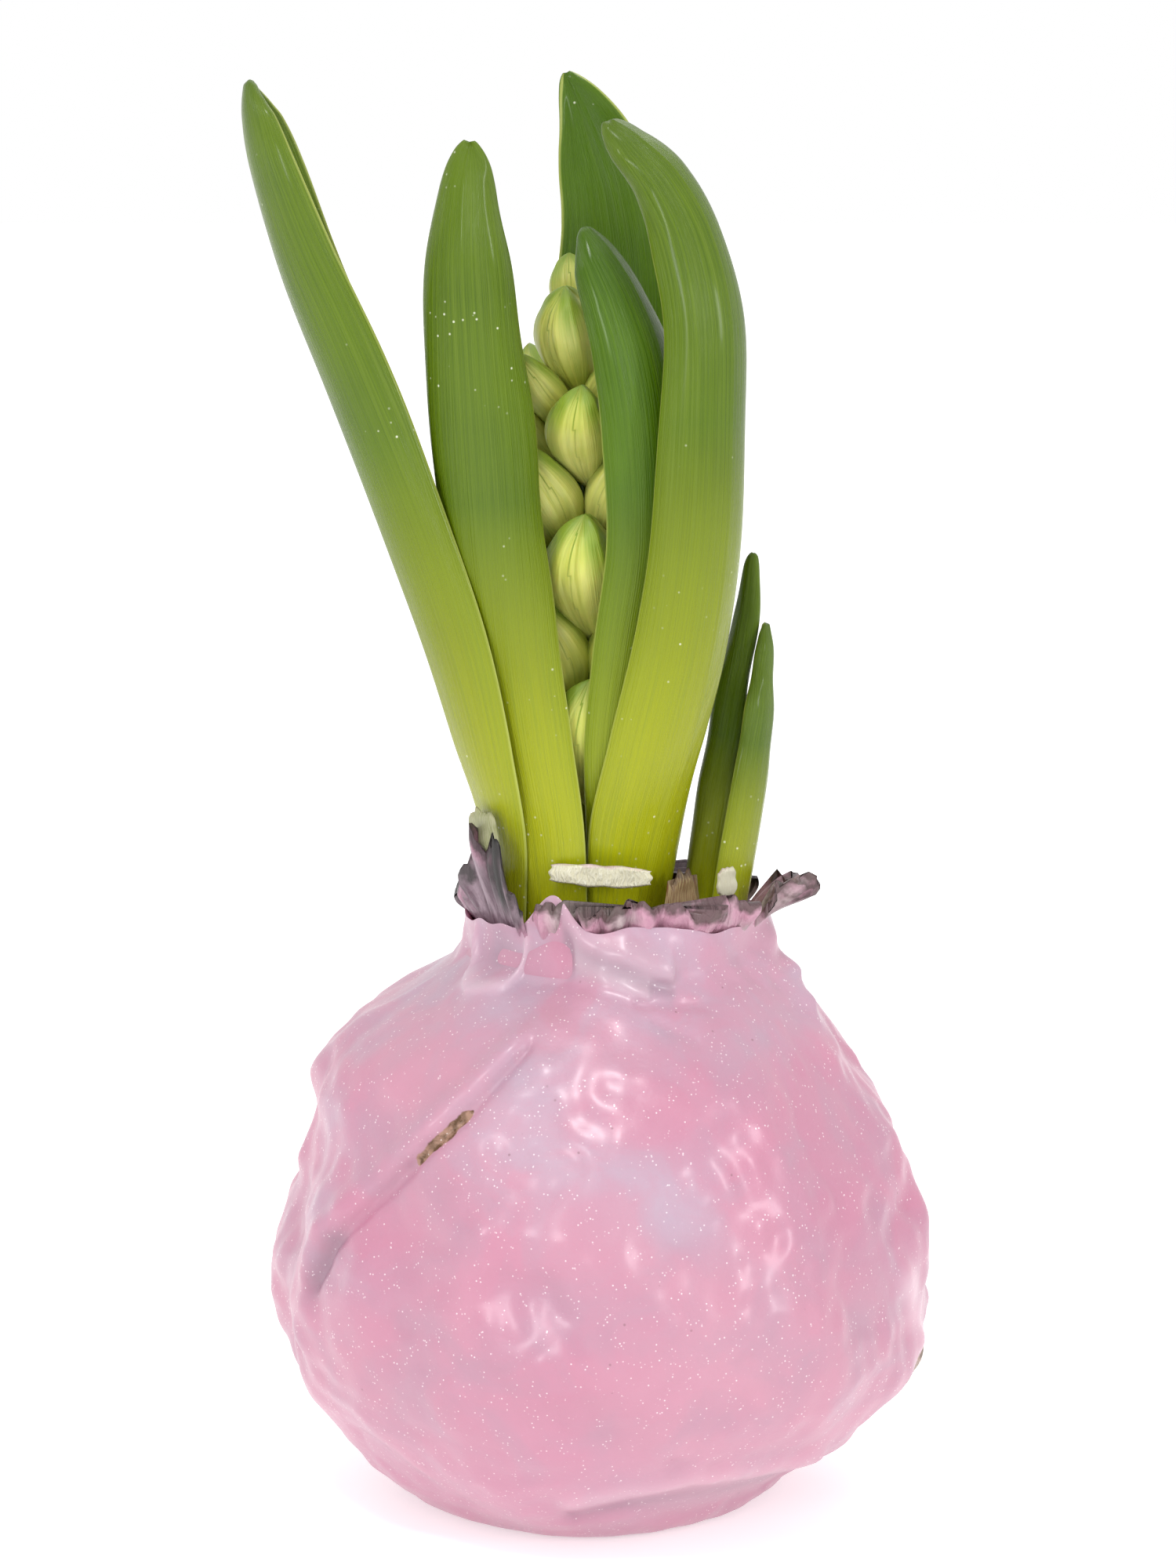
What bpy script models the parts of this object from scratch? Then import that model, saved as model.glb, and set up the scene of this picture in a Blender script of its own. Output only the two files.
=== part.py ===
"""A hyacinth in green bud, growing from a bulb that was dipped in coloured wax.

The bulb stands on a flattened foot of its own wax, so it needs no pot. Design values are in
millimetres and degrees, and MM turns them to metres where a mesh is made. The origin is the middle
of the flat foot, +Z is up and -Y is the front of the plant.
"""

import math

import bmesh
import bpy
from mathutils import Matrix, Quaternion, Vector

MM = 0.001
GAP = 0.35  # between pieces that rest on each other

# The dipped bulb: a turned outline from the foot's rim to the neck, radius and height
WAX_OUTLINE = (
    (10.0, 0.0),
    (18.4, 0.0),
    (23.0, 3.0),
    (28.6, 8.4),
    (32.9, 14.0),
    (35.6, 20.0),
    (35.9, 26.0),
    (34.9, 32.5),
    (32.9, 39.5),
    (30.4, 46.0),
    (26.4, 52.4),
    (21.4, 57.6),
    (17.7, 61.0),
    (16.8, 63.6),
)
WAX_STEPS = 30
WAX_WALL = 1.2
NECK_CENTRE_X = 1.3
NECK_RIM = (16.7, 65.0)
MERGE_DISTANCE = 0.001
NECK_SHIFT_FROM_Z = 50.0  # the neck leans over to its own centre from this height up
NECK_SHIFT_TO_Z = 62.0

# Swellings of the wax: facing, height, share of the radius, spread in degrees, spread in height
WAX_LUMPS = (
    (183.0, 51.5, 0.100, 40.0, 7.5),
    (355.0, 50.0, -0.040, 40.0, 9.0),
    (188.0, 3.0, 0.120, 34.0, 7.0),
    (318.0, 2.0, -0.100, 42.0, 6.0),
    (10.0, 19.0, 0.035, 28.0, 6.0),
    (2.0, 32.0, 0.022, 26.0, 5.0),
    (95.0, 30.0, -0.030, 60.0, 20.0),
)

BULB_INSET = WAX_WALL + 0.55
PLATFORM_Z = 61.0  # the cut-off top of the bulb, where its leaves come out

# The papery tunic round the neck, torn into standing sheets
TUNIC_RADIUS = 14.95
TUNIC_THICKNESS = 0.5
TUNIC_FOOT_Z = PLATFORM_Z + GAP
TUNIC_STEP = 8.0  # degrees of the neck's round between a sheet's points
# from facing, to facing, tops evenly spaced between them, how far the top leans out
TUNIC_SHEETS = {
    "tunic_left": (172.0, 234.0, (67.5, 68.6, 70.4, 74.6, 70.2, 68.6), 0.4),
    "tunic_front": (236.5, 331.0, (68.2, 69.4, 68.6, 70.0, 69.0, 68.2, 69.2, 68.0), 0.3),
    "tunic_right": (333.5, 383.0, (68.4, 70.6, 70.0, 68.2, 69.4, 67.6), 4.6),
    "tunic_back": (25.5, 169.5, (67.2, 68.4, 67.4, 69.0, 68.0, 69.4, 68.2, 67.4), 0.6),
}

# Leaves: keel x, y, z, facing of the back, half width, curl of each half
LEAF_THICKNESS = 0.9
SMALL_LEAF_THICKNESS = 0.7
LEAF_FOOT_Z = PLATFORM_Z + GAP
LEAVES = {
    "leaf_left": (
        (-11.9, -2.7, LEAF_FOOT_Z, 195, 5.6, 32),
        (-13.0, -3.6, 74.5, 196, 7.5, 40),
        (-16.0, -5.9, 85.0, 198, 8.2, 60),
        (-19.3, -7.6, 96.0, 197, 8.6, 80),
        (-23.9, -8.4, 109.0, 192, 9.0, 95),
        (-29.2, -8.0, 123.0, 186, 9.2, 102),
        (-34.0, -7.2, 135.0, 181, 8.8, 102),
        (-37.0, -6.6, 145.5, 178, 7.2, 98),
        (-37.8, -6.2, 151.5, 177, 5.0, 90),
        (-37.6, -6.0, 155.2, 177, 1.4, 60),
    ),
    "leaf_front_left": (
        (-7.0, -7.6, LEAF_FOOT_Z, 237, 5.3, 34),
        (-8.4, -8.2, 74.5, 232, 6.6, 40),
        (-10.2, -9.3, 85.0, 228, 7.2, 52),
        (-11.7, -10.5, 95.0, 233, 7.2, 60),
        (-13.0, -12.6, 106.0, 248, 7.3, 66),
        (-13.7, -14.0, 117.0, 258, 7.2, 70),
        (-14.3, -15.0, 128.0, 262, 6.6, 72),
        (-14.6, -15.0, 137.5, 263, 5.4, 72),
        (-14.4, -14.4, 144.5, 263, 3.7, 66),
        (-14.0, -13.4, 149.2, 263, 1.0, 50),
    ),
    "leaf_front_right": (
        (2.8, -5.9, LEAF_FOOT_Z, 308, 5.2, 42),
        (5.6, -6.9, 74.5, 315, 8.2, 58),
        (8.4, -10.4, 85.0, 316, 8.8, 74),
        (10.8, -13.0, 95.0, 316, 8.9, 84),
        (12.4, -14.8, 107.0, 315, 8.6, 90),
        (12.9, -15.0, 120.0, 315, 8.1, 92),
        (12.6, -14.3, 131.0, 316, 7.5, 94),
        (10.6, -12.8, 139.5, 318, 6.9, 93),
        (7.1, -11.3, 145.5, 320, 5.6, 92),
        (2.9, -10.0, 149.3, 322, 3.5, 88),
        (0.2, -9.0, 150.8, 322, 1.2, 70),
    ),
    "leaf_inner_right": (
        (1.9, -4.2, LEAF_FOOT_Z, 308, 3.6, 36),
        (2.9, -5.2, 74.5, 310, 5.2, 44),
        (3.7, -9.2, 85.0, 308, 6.2, 54),
        (5.3, -10.1, 95.0, 312, 7.0, 64),
        (7.0, -10.8, 107.0, 316, 7.4, 72),
        (6.6, -10.9, 119.0, 320, 7.7, 82),
        (5.3, -10.6, 127.0, 322, 7.6, 88),
        (2.9, -9.6, 133.0, 322, 6.2, 86),
        (0.3, -8.6, 137.0, 322, 4.2, 85),
        (-2.2, -7.6, 139.8, 322, 1.3, 70),
    ),
    "leaf_back": (
        (-2.7, 7.7, LEAF_FOOT_Z, 95, 7.0, 50),
        (-2.4, 10.4, 75.0, 94, 7.4, 44),
        (-1.2, 13.0, 95.0, 92, 7.5, 38),
        (1.0, 14.0, 115.0, 90, 7.6, 38),
        (1.8, 13.6, 131.0, 90, 7.2, 40),
        (0.8, 12.6, 141.5, 90, 6.2, 42),
        (-1.4, 11.7, 149.0, 91, 4.3, 45),
        (-4.1, 11.0, 155.6, 93, 0.9, 40),
    ),
    "offset_leaf_outer": (
        (13.9, -2.6, LEAF_FOOT_Z, 335, 3.9, 70),
        (15.6, -2.6, 71.0, 335, 4.2, 75),
        (17.0, -2.1, 80.0, 335, 4.0, 78),
        (17.8, -1.5, 88.0, 335, 3.2, 80),
        (17.7, -0.8, 94.0, 335, 1.9, 75),
        (17.4, -0.2, 97.2, 335, 0.6, 50),
    ),
    "offset_leaf_inner": (
        (9.8, -0.6, LEAF_FOOT_Z, 238, 2.1, 50),
        (10.3, -0.6, 70.0, 236, 2.3, 56),
        (11.7, -0.6, 80.0, 235, 2.5, 60),
        (13.5, 0.0, 90.0, 235, 2.2, 60),
        (15.2, 0.4, 99.0, 235, 1.6, 56),
        (16.0, 0.6, 104.7, 235, 0.5, 45),
    ),
}
SMALL_LEAVES = ("offset_leaf_outer", "offset_leaf_inner")

# The flower spike: a stalk and whorls of closed buds, every other whorl turned by half a step
# x, y, height and radius of the stalk, which leans a little at its top
STALK_POINTS = (
    (-2.0, 0.5, LEAF_FOOT_Z, 3.7),
    (-2.0, 0.5, 74.0, 2.9),
    (-2.0, 0.5, 95.0, 2.4),
    (-2.5, 0.3, 111.0, 1.8),
    (-2.9, 0.1, 119.0, 0.9),
    (-3.3, 0.0, 127.5, 0.8),
)
BUD_SEAT = 0.5  # between a bud's foot and the stalk's round side
BUD_FOOT_SHARE = 0.96  # of a bud's length, how far its foot sits below its tip
BUD_FULLEST = 1.27  # above 1 the bud is fullest above its middle
BUD_BLUNTNESS = 0.75  # below 1 its ends are blunter than a sine's
BUD_LOBE_DEPTH = 0.04  # of its radius
# height of the tips, facing of the first bud, bud length, bud radius, reach of the tips, buds
WHORLS = (
    (92.5, 267.0, 16.5, 3.4, 8.4, 4),
    (101.5, 226.0, 16.5, 3.4, 8.5, 4),
    (110.5, 265.0, 16.5, 3.3, 8.6, 4),
    (118.0, 226.0, 15.0, 3.0, 8.4, 4),
    (124.5, 268.0, 13.5, 2.7, 8.2, 4),
    (128.0, 220.5, 12.0, 2.0, 7.8, 4),
    (134.0, 253.0, 13.5, 2.7, 5.3, 2),
)
TOP_BUD_FOOT = (-3.3, 0.1, 128.0)
TOP_BUD_TIP = (-4.0, 0.2, 137.0)
TOP_BUD_RADIUS = 1.9
TOP_BUD_FACING = 245.0

# Flakes of wax left on the plant: centre, size across and up, facing, tip to the side
WAX_CHIPS = {
    "wax_chip_front": ((-0.6, -11.9, 71.5), 11.0, 2.6, 268.0, -3.0),
    "wax_chip_small": ((13.1, -7.4, 70.0), 2.6, 3.4, 312.0, 0.0),
    "wax_chip_left": ((-13.3, -8.2, 75.4), 4.4, 6.0, 214.0, 12.0),
}
CHIP_THICKNESS = 0.6
CHIP_CLIPPING = 0.3  # of its height, lost at its ends
CHIP_BEND = 0.06  # of its width, how far its ends lie back

SCRAP_STATIONS = (
    (8.4, -7.6, TUNIC_FOOT_Z, 318, 2.4, 20),
    (8.6, -7.8, 67.0, 318, 2.6, 24),
    (8.7, -8.0, 71.6, 318, 0.6, 16),
)

WAX_PINK = (0.82, 0.46, 0.60)
TUNIC_LILAC = (0.42, 0.32, 0.36)
BULB_BROWN = (0.25, 0.13, 0.06)
LEAF_GREEN = (0.20, 0.36, 0.04)
BUD_GREEN = (0.48, 0.56, 0.12)
CHIP_WHITE = (0.78, 0.72, 0.66)


def clear_scene():
    for old in list(bpy.data.objects):
        bpy.data.objects.remove(old, do_unlink=True)


def make_material(name, colour, roughness):
    """A Principled material in one colour, which no part of the plant makes metallic."""
    material = bpy.data.materials.new(name)
    material.use_nodes = True
    shader = material.node_tree.nodes["Principled BSDF"]
    shader.inputs["Base Color"].default_value = (*colour, 1.0)
    shader.inputs["Roughness"].default_value = roughness
    shader.inputs["Metallic"].default_value = 0.0
    material.diffuse_color = (*colour, 1.0)
    return material


def new_part(name, mesh, collection, material):
    mesh.materials.append(material)
    mesh.shade_smooth()
    part = bpy.data.objects.new(name, mesh)
    collection.objects.link(part)
    return part


def mesh_from(shape, name):
    mesh = bpy.data.meshes.new(name)
    shape.to_mesh(mesh)
    shape.free()
    return mesh


def add_wall(part, thickness, offset):
    wall = part.modifiers.new("wall", "SOLIDIFY")
    wall.thickness = thickness * MM
    wall.offset = offset
    wall.use_even_offset = True
    return wall


def on_smooth_line(stations, share):
    """The values a share of the way along, on a Catmull-Rom line through every station."""
    place = min(max(share, 0.0), 1.0) * (len(stations) - 1)
    first = min(int(place), len(stations) - 2)
    t = place - first
    before = stations[max(first - 1, 0)]
    start = stations[first]
    end = stations[first + 1]
    after = stations[min(first + 2, len(stations) - 1)]
    values = []
    for a, b, c, d in zip(before, start, end, after):
        curve = 2 * b + (c - a) * t + (2 * a - 5 * b + 4 * c - d) * t**2
        values.append(0.5 * (curve + (3 * b - a - 3 * c + d) * t**3))
    return values


def smooth_step(low, high, value):
    t = min(max((value - low) / (high - low), 0.0), 1.0)
    return t * t * (3 - 2 * t)


def wax_swelling(facing, height):
    """How much wider than the turned outline the wax is here, as a factor."""
    swelling = 1.0
    for centre, at, share, spread, rise in WAX_LUMPS:
        turn = (facing - centre + 180.0) % 360.0 - 180.0
        swelling += share * math.exp(-((turn / spread) ** 2) - ((height - at) / rise) ** 2)
    return swelling


def neck_shift(height):
    return NECK_CENTRE_X * smooth_step(NECK_SHIFT_FROM_Z, NECK_SHIFT_TO_Z, height)


def wax_skin():
    """The outside of the wax: its outline spun round, then swollen, open at the neck."""
    shape = bmesh.new()
    outline = ((0.0, 0.0), *WAX_OUTLINE, NECK_RIM)
    points = [shape.verts.new((radius, 0.0, height)) for radius, height in outline]
    edges = [shape.edges.new(pair) for pair in zip(points, points[1:])]
    bmesh.ops.spin(
        shape,
        geom=points + edges,
        cent=(0, 0, 0),
        axis=(0, 0, 1),
        angle=math.tau,
        steps=WAX_STEPS,
        use_merge=True,
    )
    bmesh.ops.remove_doubles(shape, verts=shape.verts, dist=MERGE_DISTANCE)
    bmesh.ops.recalc_face_normals(shape, faces=shape.faces)
    if sum(face.normal.z for face in shape.faces if face.calc_center_median().z < 0.1) > 0:
        bmesh.ops.reverse_faces(shape, faces=shape.faces)
    for point in shape.verts:
        swelling = wax_swelling(math.degrees(math.atan2(point.co.y, point.co.x)), point.co.z)
        point.co.x = point.co.x * swelling + neck_shift(point.co.z)
        point.co.y *= swelling
    shape.normal_update()
    return shape


def make_wax_coat(collection, material):
    shape = wax_skin()
    bmesh.ops.scale(shape, vec=(MM, MM, MM), verts=shape.verts)
    coat = new_part("wax_coat", mesh_from(shape, "wax_coat"), collection, material)
    add_wall(coat, WAX_WALL, -1.0)
    return coat


def make_bulb(collection, material):
    """The bulb fills its coat: the same skin moved inwards, cut flat where the leaves come out."""
    shape = wax_skin()
    for point in shape.verts:
        point.co -= point.normal * BULB_INSET
    cut = bmesh.ops.bisect_plane(
        shape,
        geom=shape.verts[:] + shape.edges[:] + shape.faces[:],
        plane_co=(0, 0, PLATFORM_Z),
        plane_no=(0, 0, 1),
        clear_outer=True,
    )
    rim = [piece for piece in cut["geom_cut"] if isinstance(piece, bmesh.types.BMEdge)]
    bmesh.ops.holes_fill(shape, edges=rim, sides=0)
    bmesh.ops.recalc_face_normals(shape, faces=shape.faces)
    bmesh.ops.scale(shape, vec=(MM, MM, MM), verts=shape.verts)
    return new_part("bulb", mesh_from(shape, "bulb"), collection, material)


def make_tunic_sheet(name, sheet, collection, material):
    """A strip of tunic standing on the bulb round its neck, with a torn top edge."""
    start, end, tops, lean = sheet
    around = max(int((end - start) / TUNIC_STEP), 5)
    shape = bmesh.new()
    bmesh.ops.create_grid(shape, x_segments=around, y_segments=4, size=1.0)
    for point in shape.verts:
        share = (point.co.x + 1) / 2
        rise = (point.co.y + 1) / 2
        facing = math.radians(start + (end - start) * share)
        top = on_smooth_line([(value,) for value in tops], share)[0]
        radius = TUNIC_RADIUS + lean * rise**5 * math.sin(math.pi * share)
        point.co = (
            NECK_CENTRE_X + radius * math.cos(facing),
            radius * math.sin(facing),
            TUNIC_FOOT_Z + (top - TUNIC_FOOT_Z) * rise,
        )
    bmesh.ops.scale(shape, vec=(MM, MM, MM), verts=shape.verts)
    part = new_part(name, mesh_from(shape, name), collection, material)
    add_wall(part, TUNIC_THICKNESS, 0.0)
    return part


def leaf_frame(stations, share):
    """Where the keel is, which ways lie across and inwards, and the half width and curl there."""
    x, y, z, facing, half_width, curl = on_smooth_line(stations, share)
    ahead = on_smooth_line(stations, share + 0.01)[:3]
    behind = on_smooth_line(stations, share - 0.01)[:3]
    along = (Vector(ahead) - Vector(behind)).normalized()
    outwards = Vector((math.cos(math.radians(facing)), math.sin(math.radians(facing)), 0.0))
    outwards = (outwards - along * outwards.dot(along)).normalized()
    return Vector((x, y, z)), along.cross(outwards), -outwards, half_width, math.radians(curl)


def leaf_point(stations, along, across):
    """A leaf's section is an arc: across goes from -1 to 1, and each half curls inwards."""
    keel, sideways, inwards, half_width, curl = leaf_frame(stations, along)
    turn = curl * across
    radius = half_width / curl
    return keel + sideways * (radius * math.sin(turn)) + inwards * (radius * (1 - math.cos(turn)))


def make_leaf(name, stations, thickness, across_steps, collection, material):
    """One channelled leaf from its foot in the bulb's neck to its hooded tip."""
    shape = bmesh.new()
    along_steps = 2 * (len(stations) - 1)
    bmesh.ops.create_grid(shape, x_segments=across_steps, y_segments=along_steps, size=1.0)
    for point in shape.verts:
        point.co = leaf_point(stations, (point.co.y + 1) / 2, point.co.x)
    for point in shape.verts:
        point.co.z = max(point.co.z, LEAF_FOOT_Z)
    bmesh.ops.scale(shape, vec=(MM, MM, MM), verts=shape.verts)
    part = new_part(name, mesh_from(shape, name), collection, material)
    add_wall(part, thickness, 0.0)
    return part


def make_stalk(collection, material):
    """The flower stalk: a tapering tube of eight sides with closed ends."""
    path = bpy.data.curves.new("flower_stalk", "CURVE")
    path.dimensions = "3D"
    path.bevel_depth = MM
    path.bevel_resolution = 2
    path.use_fill_caps = True
    line = path.splines.new("POLY")
    line.points.add(len(STALK_POINTS) - 1)
    for point, (x, y, height, radius) in zip(line.points, STALK_POINTS):
        point.co = (x * MM, y * MM, height * MM, 1.0)
        point.radius = radius
    path.materials.append(material)
    stalk = bpy.data.objects.new("flower_stalk", path)
    collection.objects.link(stalk)
    return stalk


def stalk_at(height):
    """The stalk's middle and radius at a height, between the two nearest of its points."""
    for low, high in zip(STALK_POINTS, STALK_POINTS[1:]):
        if height <= high[2]:
            break
    share = min(max((height - low[2]) / (high[2] - low[2]), 0.0), 1.0)
    x, y, _, radius = (a + (b - a) * share for a, b in zip(low, high))
    return Vector((x, y, height)), radius


def bud_mesh(name, length, radius, material):
    """A closed bud, base at the origin and tip up: an egg, fullest above its middle, in three lobes."""
    shape = bmesh.new()
    bmesh.ops.create_uvsphere(shape, u_segments=9, v_segments=6, radius=1.0)
    for point in shape.verts:
        up = (point.co.z + 1) / 2
        fullness = math.sin(math.pi * min(max(up, 0.0), 1.0) ** BUD_FULLEST) ** BUD_BLUNTNESS
        turn = math.atan2(point.co.y, point.co.x)
        reach = radius * fullness * (1 + BUD_LOBE_DEPTH * math.cos(3 * turn))
        flat = abs(point.co.z) > 0.999
        point.co = (
            0.0 if flat else reach * math.cos(turn),
            0.0 if flat else reach * math.sin(turn),
            length * up,
        )
    bmesh.ops.scale(shape, vec=(MM, MM, MM), verts=shape.verts)
    mesh = mesh_from(shape, name)
    mesh.materials.append(material)
    mesh.shade_smooth()
    return mesh


def place_bud(number, mesh, base, tip, facing, collection):
    """Sets a bud on its base, pointing at its tip, with one lobe facing out."""
    bud = bpy.data.objects.new(f"bud_{number:02d}", mesh)
    lean = (Vector(tip) - Vector(base)).normalized()
    bud.rotation_mode = "QUATERNION"
    turned = Quaternion((0, 0, 1), math.radians(facing))
    bud.rotation_quaternion = Vector((0, 0, 1)).rotation_difference(lean) @ turned
    bud.location = Vector(base) * MM
    collection.objects.link(bud)
    return bud


def make_buds(collection, material):
    """Whorl above whorl of buds round the stalk, then the one at its very top."""
    number = 0
    for tip_z, first_facing, length, radius, reach, count in WHORLS:
        mesh = bud_mesh(f"bud_whorl_{tip_z:.0f}", length, radius, material)
        foot_middle, foot_radius = stalk_at(tip_z - length * BUD_FOOT_SHARE)
        tip_middle, _ = stalk_at(tip_z)
        for step in range(count):
            facing = first_facing + step * 360.0 / count
            outwards = Vector((math.cos(math.radians(facing)), math.sin(math.radians(facing)), 0))
            foot = foot_middle + outwards * (foot_radius + BUD_SEAT)
            tip = Vector((tip_middle.x, tip_middle.y, tip_z)) + outwards * reach
            number += 1
            place_bud(number, mesh, foot, tip, facing, collection)
    top_length = (Vector(TOP_BUD_TIP) - Vector(TOP_BUD_FOOT)).length
    top_mesh = bud_mesh("bud_top", top_length, TOP_BUD_RADIUS, material)
    place_bud(number + 1, top_mesh, TOP_BUD_FOOT, TOP_BUD_TIP, TOP_BUD_FACING, collection)


def make_chip(name, chip, collection, material):
    """A thin flake with clipped corners, bent a little round the plant."""
    centre, width, height, facing, tilt = chip
    shape = bmesh.new()
    bmesh.ops.create_grid(shape, x_segments=4, y_segments=3, size=1.0)
    outwards = Vector((math.cos(math.radians(facing)), math.sin(math.radians(facing)), 0))
    sideways = Vector((0, 0, 1)).cross(outwards)
    tipped = Matrix.Rotation(math.radians(tilt), 3, outwards)
    for point in shape.verts:
        along = point.co.x
        up = point.co.y * (1 - CHIP_CLIPPING * along * along)
        bend = -CHIP_BEND * width * along * along
        flat = sideways * (along * width / 2) + Vector((0, 0, up * height / 2))
        point.co = Vector(centre) + tipped @ flat + outwards * bend
    bmesh.ops.scale(shape, vec=(MM, MM, MM), verts=shape.verts)
    part = new_part(name, mesh_from(shape, name), collection, material)
    add_wall(part, CHIP_THICKNESS, 0.0)
    return part


def make_hyacinth():
    clear_scene()
    plant = bpy.data.collections.new("hyacinth")
    bpy.context.scene.collection.children.link(plant)
    wax = make_material("pearl_wax", WAX_PINK, 0.38)
    tunic = make_material("waxed_tunic", TUNIC_LILAC, 0.45)
    skin = make_material("bulb_skin", BULB_BROWN, 0.60)
    leaf = make_material("leaf", LEAF_GREEN, 0.38)
    bud = make_material("bud", BUD_GREEN, 0.45)
    flake = make_material("wax_flake", CHIP_WHITE, 0.50)

    make_wax_coat(plant, wax)
    make_bulb(plant, skin)
    for name, sheet in TUNIC_SHEETS.items():
        make_tunic_sheet(name, sheet, plant, tunic)
    make_leaf("tunic_scrap", SCRAP_STATIONS, TUNIC_THICKNESS, 3, plant, skin)
    for name, stations in LEAVES.items():
        small = name in SMALL_LEAVES
        thickness = SMALL_LEAF_THICKNESS if small else LEAF_THICKNESS
        make_leaf(name, stations, thickness, 4 if small else 6, plant, leaf)
    make_stalk(plant, leaf)
    make_buds(plant, bud)
    for name, chip in WAX_CHIPS.items():
        make_chip(name, chip, plant, flake)


make_hyacinth()
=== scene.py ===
# %% [markdown]
# # A hyacinth in bud on a wax-dipped bulb
# The plant stands on a flattened foot of its own wax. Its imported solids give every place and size;
# this lesson lays finer surfaces over them. Lengths are in metres unless a name ends in _MM.

import math

import bpy
import numpy as np
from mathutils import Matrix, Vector


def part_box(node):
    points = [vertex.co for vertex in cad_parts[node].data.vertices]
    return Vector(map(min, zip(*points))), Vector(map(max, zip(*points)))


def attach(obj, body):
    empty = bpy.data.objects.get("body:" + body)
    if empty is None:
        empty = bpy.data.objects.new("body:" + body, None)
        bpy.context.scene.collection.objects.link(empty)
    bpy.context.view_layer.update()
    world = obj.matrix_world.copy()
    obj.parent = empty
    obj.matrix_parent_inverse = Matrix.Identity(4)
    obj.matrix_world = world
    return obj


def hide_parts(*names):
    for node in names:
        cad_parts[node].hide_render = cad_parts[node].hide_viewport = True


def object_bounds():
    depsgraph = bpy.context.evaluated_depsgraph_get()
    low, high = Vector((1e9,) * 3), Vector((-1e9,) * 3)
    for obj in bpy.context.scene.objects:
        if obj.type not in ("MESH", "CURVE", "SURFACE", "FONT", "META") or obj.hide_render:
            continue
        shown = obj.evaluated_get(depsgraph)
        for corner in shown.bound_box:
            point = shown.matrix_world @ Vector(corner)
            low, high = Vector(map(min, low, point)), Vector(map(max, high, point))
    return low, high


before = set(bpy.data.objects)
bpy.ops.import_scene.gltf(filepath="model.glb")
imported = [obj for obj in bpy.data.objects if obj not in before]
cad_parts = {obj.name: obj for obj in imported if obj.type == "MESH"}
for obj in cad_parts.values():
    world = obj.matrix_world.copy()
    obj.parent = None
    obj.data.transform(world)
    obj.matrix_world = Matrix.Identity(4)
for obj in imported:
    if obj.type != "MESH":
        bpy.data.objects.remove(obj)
cad_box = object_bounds()
MM = 0.001
print("packed nodes:", len(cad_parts))

# %% [markdown]
# ## Smooth lines and gentle unevenness
# A leaf or an outline is known at a few stations. A Catmull-Rom line passes through each of them,
# and works on whole arrays of places at once. Nothing grown is even, so a sum of sine waves in many
# directions gives a soft, repeatable unevenness without any texture.

# %% Lines through stations, and unevenness


def smooth_line(stations, share):
    """Values at each share of the way: 0.5 (2b + (c-a)t + (2a-5b+4c-d)t^2 + (3b-a-3c+d)t^3)."""
    table = np.asarray(stations, float)
    place = np.clip(share, 0.0, 1.0) * (len(table) - 1)
    first = np.minimum(place.astype(int), len(table) - 2)
    t = (place - first)[..., None]
    a = table[np.maximum(first - 1, 0)]
    b = table[first]
    c = table[first + 1]
    d = table[np.minimum(first + 2, len(table) - 1)]
    squared = (2 * a - 5 * b + 4 * c - d) * t**2
    return 0.5 * (2 * b + (c - a) * t + squared + (3 * b - a - 3 * c + d) * t**3)


def unevenness(points, size, seed, waves=22):
    """Sum of sin(k.p + phase) over random directions k of wave length near size, about -2 to 2."""
    draw = np.random.default_rng(seed)
    ways = draw.normal(size=(waves, points.shape[-1]))
    lengths = np.linalg.norm(ways, axis=1)[:, None]
    ways *= (math.tau / size) * draw.uniform(0.6, 1.4, (waves, 1)) / lengths
    phases = draw.uniform(0, math.tau, waves)
    return np.sin(points @ ways.T + phases).sum(-1) / math.sqrt(waves / 2)


def hump(value, middle, spread):
    """exp(-((value - middle) / spread)^2): 1 at the middle, fading to both sides."""
    return np.exp(-(((value - middle) / spread) ** 2))


def ease(low, high, value):
    """t^2 (3 - 2t) with t from 0 at low to 1 at high."""
    t = np.clip((value - low) / (high - low), 0.0, 1.0)
    return t * t * (3 - 2 * t)


def unit(vectors):
    """Each vector divided by its own length."""
    return vectors / np.maximum(np.linalg.norm(vectors, axis=-1, keepdims=True), 1e-12)


print("halfway along a test line:", smooth_line([(0, 0), (1, 2), (4, 4)], np.array([0.5])))

# %% [markdown]
# ## From rings to a closed skin
# Every piece here is a stack of closed rings: round the bulb, round a bud, or along the front and
# back of a leaf. One function joins neighbouring rings with quads and closes both ends in a point,
# so no seam stays open. A signed volume tells whether the faces point outwards.

# %% Skins made of rings


def fit_box(points, node):
    """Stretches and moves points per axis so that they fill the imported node's box exactly."""
    low, high = (np.array(corner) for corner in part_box(node))
    own_low = points.reshape(-1, 3).min(0)
    own_high = points.reshape(-1, 3).max(0)
    return low + (points - own_low) * (high - low) / (own_high - own_low)


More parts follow.
